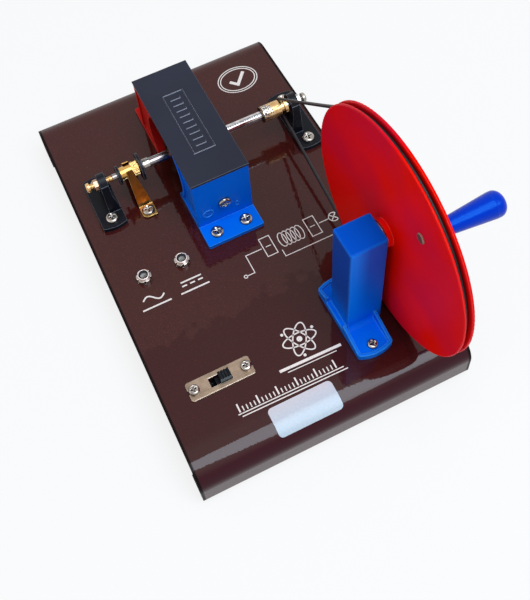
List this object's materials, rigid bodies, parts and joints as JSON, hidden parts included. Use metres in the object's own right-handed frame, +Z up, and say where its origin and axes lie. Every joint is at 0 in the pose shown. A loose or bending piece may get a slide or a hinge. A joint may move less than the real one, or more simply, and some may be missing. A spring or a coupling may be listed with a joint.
{
  "type": "hand-cranked demonstration generator",
  "caption": "Classroom model of a hand-cranked generator: grooved wheel, round belt, armature between blue and red poles, brushes, switch and output sockets on a bent steel base.",
  "frame": {"origin": "on the bench, under the middle of the whole object's box", "axes": "+X to the right across the base, the side the wheel and crank are on; +Y along the base towards the generator; +Z up"},
  "size_m": [0.1624, 0.2619, 0.1547],
  "materials": {
    "base_paint": "dark brown hammer paint",
    "blue_plastic": "moulded, light gloss",
    "red_plastic": "moulded, light gloss",
    "wheel_plastic": "turned faces, light gloss",
    "handle_plastic": "moulded, gloss",
    "black_plastic": "satin black",
    "ferrite": "sintered, matt",
    "core_iron": "stacked sheets",
    "copper_wire": "enamelled copper",
    "nickel": "nickel plated",
    "zinc": "zinc plated",
    "shaft_steel": "ground",
    "brass": "bright",
    "leaf_brass": "rolled",
    "fibre": "hard fibre",
    "belt_rubber": "round cord",
    "red_wire": "flexible sleeve",
    "black_wire": "flexible sleeve"
  },
  "bodies": {
    "base": {"base_panel": "base_paint", "front_pole": "blue_plastic", "rear_pole": "red_plastic", "front_magnet": "ferrite", "rear_magnet": "ferrite", "magnet_screws": "nickel", "pole_screws": "nickel", "pole_nuts": "zinc", "top_cover": "black_plastic", "left_bearing_bracket": "black_plastic", "right_bearing_bracket": "black_plastic", "bracket_screws": "nickel", "bracket_nuts": "zinc", "left_pivot_screw": "brass", "right_pivot_screw": "nickel", "pivot_nuts": "nickel", "front_brush": "leaf_brass", "rear_brush": "leaf_brass", "brush_insulators": "fibre", "brush_screws": "nickel", "brush_nuts": "zinc", "wheel_tower": "blue_plastic", "tower_screws": "nickel", "tower_nuts": "zinc", "wheel_axle": "nickel", "wheel_washers": "zinc", "drive_belt": "belt_rubber", "switch_plate": "nickel", "switch_housing": "fibre", "switch_terminals": "zinc", "switch_screws": "nickel", "switch_nuts": "zinc", "ac_socket_barrel": "nickel", "dc_socket_barrel": "nickel", "ac_socket_liner": "black_plastic", "dc_socket_liner": "black_plastic", "socket_nuts": "nickel", "socket_contacts": "brass", "red_leads": "red_wire", "black_leads": "black_wire"},
    "wheel": {"wheel_left_disc": "wheel_plastic", "wheel_right_disc": "wheel_plastic", "wheel_bush": "brass", "crank_pin": "nickel", "crank_nut": "nickel"},
    "handle": {"crank_grip": "handle_plastic", "crank_cap": "handle_plastic"},
    "armature": {"shaft": "shaft_steel", "armature_core": "core_iron", "armature_winding": "copper_wire", "winding_leads": "copper_wire", "commutator_hub": "black_plastic", "commutator_segments": "brass", "shaft_collar": "shaft_steel", "collar_screw": "zinc", "pulley": "brass", "pulley_screw": "zinc"},
    "switch_slider": {"switch_slider": "black_plastic"}
  },
  "joints": [
    {"name": "wheel_spin", "type": "hinge", "parent": "base", "child": "wheel", "pos_m": [0.04465, -0.06855, 0.0923], "axis": [1, 0, 0], "continuous": true},
    {"name": "armature_spin", "type": "hinge", "parent": "base", "child": "armature", "pos_m": [-0.00625, 0.05445, 0.0475], "axis": [1, 0, 0], "continuous": true},
    {"name": "handle_spin", "type": "hinge", "parent": "wheel", "child": "handle", "pos_m": [0.06375, -0.09395, 0.123], "axis": [1, 0, 0], "continuous": true},
    {"name": "switch_slide", "type": "slide", "parent": "base", "child": "switch_slider", "axis": [1, 0, 0], "range_m": [-0.005, 0]}
  ],
  "couplings": [
    {"joint": "armature_spin", "follows": "wheel_spin", "ratio": 12.681}
  ]
}
